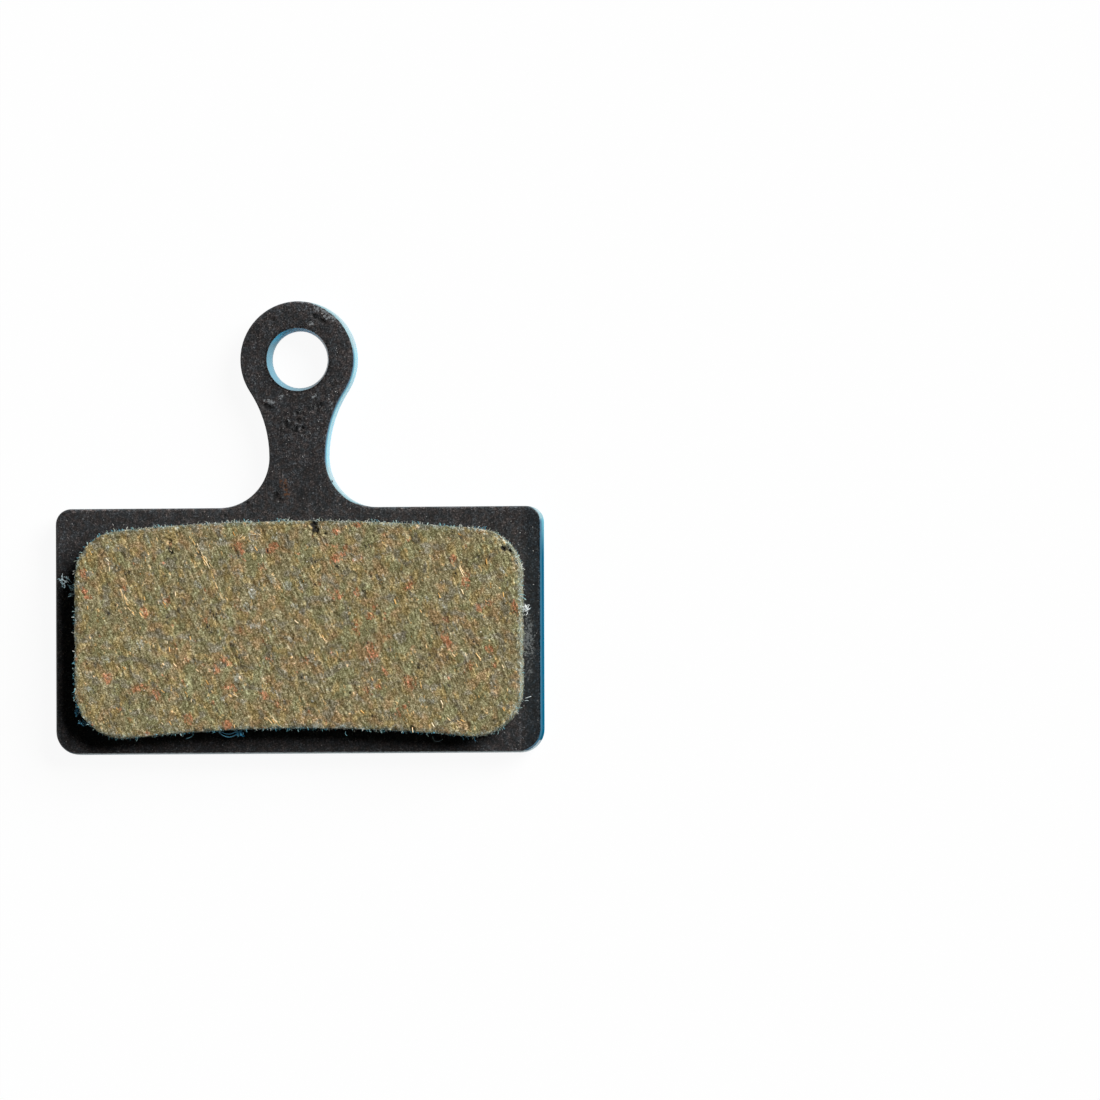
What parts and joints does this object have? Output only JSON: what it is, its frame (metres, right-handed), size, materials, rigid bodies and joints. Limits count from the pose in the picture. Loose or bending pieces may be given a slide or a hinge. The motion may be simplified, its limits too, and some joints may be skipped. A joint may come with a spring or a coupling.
{
  "type": "disc brake pad",
  "caption": "Flat bicycle disc brake pad: a stamped steel backing plate with a round retaining eye on a waisted neck, and a moulded friction lining keyed through the plate.",
  "frame": {"origin": "on the axis of the retaining eye, at the plate's painted back face", "axes": "+Z from the painted back to the friction face, +Y from the lining towards the eye, +X along the plate's width"},
  "size_m": [0.038, 0.0349, 0.004],
  "materials": {
    "coated_plate": "glossy blue powder coat on the back and edges, bare black satin steel on the front face",
    "friction_compound": "ground resin-bound compound, khaki, with brass fibres and copper flecks"
  },
  "bodies": {
    "root": {"backing_plate": "coated_plate", "friction_lining": "friction_compound"}
  },
  "joints": []
}
